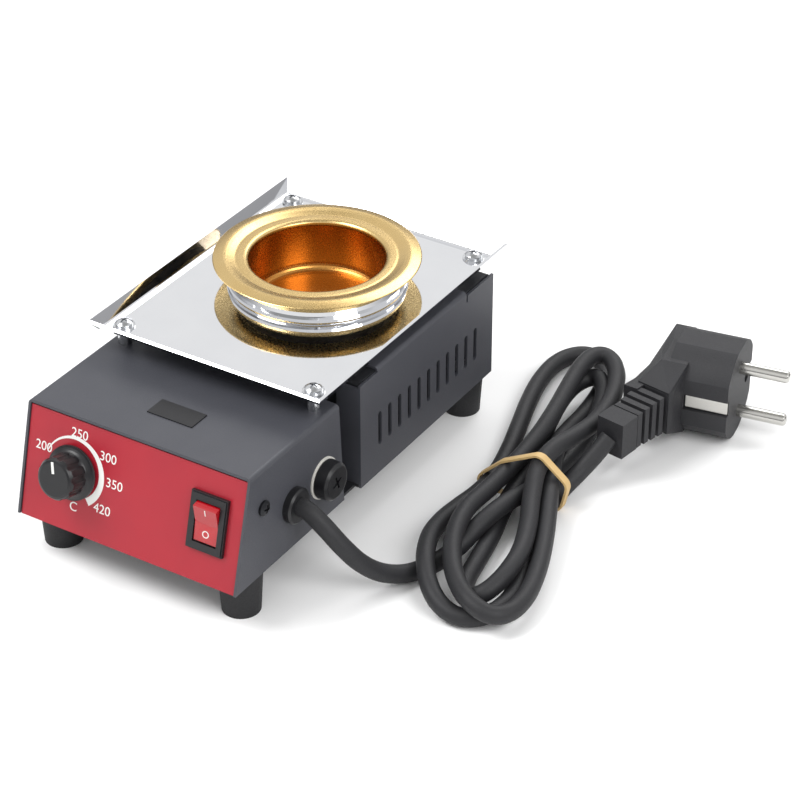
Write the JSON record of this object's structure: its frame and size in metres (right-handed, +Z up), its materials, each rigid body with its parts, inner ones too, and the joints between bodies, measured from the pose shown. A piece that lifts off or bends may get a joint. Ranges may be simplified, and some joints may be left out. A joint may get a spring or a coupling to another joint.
{
  "type": "solder pot",
  "caption": "Small bench solder pot: gold crucible over a mirror steel drip tray, dark slotted housing, tilted red panel with temperature dial and rocker switch, folded mains cord and plug",
  "frame": {"origin": "on the surface the four rubber feet stand on, under the middle of the crucible", "axes": "+Z up; +Y to the back, from the red panel to the crucible; +X to the right of a person facing the panel, to the side where the cord comes out"},
  "size_m": [0.2042, 0.2279, 0.0765],
  "materials": {
    "grey_paint": "satin",
    "black_paint": "satin",
    "red_paint": "satin",
    "mirror_steel": "polished",
    "bright_steel": "bright",
    "black_steel": "matte",
    "black_screw": "satin",
    "zinc": "plated",
    "gold_anodised": "satin anodised",
    "heater_cast": "matte",
    "band_steel": "heat tinted",
    "ceramic_fibre": "matte",
    "black_plastic": "satin",
    "red_plastic": "gloss",
    "white_plastic": "matte",
    "green_board": "lacquered",
    "board_component": "matte",
    "wire_plastic": "matte",
    "glass_sleeve": "matte",
    "cord_rubber": "matte",
    "plug_rubber": "fine grain",
    "band_rubber": "matte",
    "foot_rubber": "matte",
    "nickel_pin": "nickel plated"
  },
  "bodies": {
    "case": {"base_plate": "black_paint", "rubber_feet": "foot_rubber", "foot_screws": "zinc", "control_cover": "grey_paint", "front_panel": "red_paint", "control_back_wall": "black_paint", "cover_screws": "black_screw", "label_plate": "black_plastic", "heater_side_right": "grey_paint", "heater_side_left": "grey_paint", "heater_shell": "black_paint", "tray": "mirror_steel", "tray_screws": "bright_steel", "tray_washers": "bright_steel", "tray_spacers": "bright_steel", "tray_nuts": "zinc", "heater_can": "mirror_steel", "can_collar": "mirror_steel", "can_standoffs": "zinc", "insulation_pad": "ceramic_fibre", "heating_plate": "heater_cast", "band_heater": "band_steel", "crucible_seat": "black_steel", "crucible": "gold_anodised", "sensor_probe": "bright_steel", "potentiometer": "zinc", "dial_nut": "bright_steel", "switch_body": "black_plastic", "switch_terminals": "zinc", "fuse_holder": "black_plastic", "fuse_seal": "white_plastic", "fuse_nut": "black_plastic", "cable_gland": "black_plastic", "gland_nut": "black_plastic", "control_board": "green_board", "board_pillars": "zinc", "board_parts": "board_component", "terminal_block": "white_plastic", "mains_wires": "wire_plastic", "heater_wires": "glass_sleeve", "power_cord": "cord_rubber", "cord_hank": "cord_rubber", "rubber_band": "band_rubber", "plug_lead": "cord_rubber", "plug_body": "plug_rubber", "plug_pins": "nickel_pin", "earth_clips": "nickel_pin"},
    "dial": {"knob": "black_plastic", "dial_shaft": "bright_steel"},
    "rocker_body": {"rocker": "red_plastic"},
    "fuse_body": {"fuse_link": "bright_steel"},
    "fuse_cap_body": {"fuse_cap": "black_plastic"}
  },
  "joints": [
    {"name": "dial_turn", "type": "hinge", "parent": "case", "child": "dial", "pos_m": [-0.025, -0.11671, 0.03832], "axis": [0, 0.9655, -0.2605], "range_deg": [-58, 156]},
    {"name": "rocker_swing", "type": "hinge", "parent": "case", "child": "rocker_body", "pos_m": [0.0323, -0.11594, 0.03811], "axis": [-1, 0, 0], "range_deg": [0, 24]},
    {"name": "fuse_slide", "type": "slide", "parent": "case", "child": "fuse_body", "axis": [1, 0, 0], "range_m": [0, 0.03]},
    {"name": "fuse_cap_turn", "type": "hinge", "parent": "fuse_body", "child": "fuse_cap_body", "pos_m": [0.05, -0.0683, 0.0339], "axis": [1, 0, 0], "range_deg": [0, 90]}
  ]
}
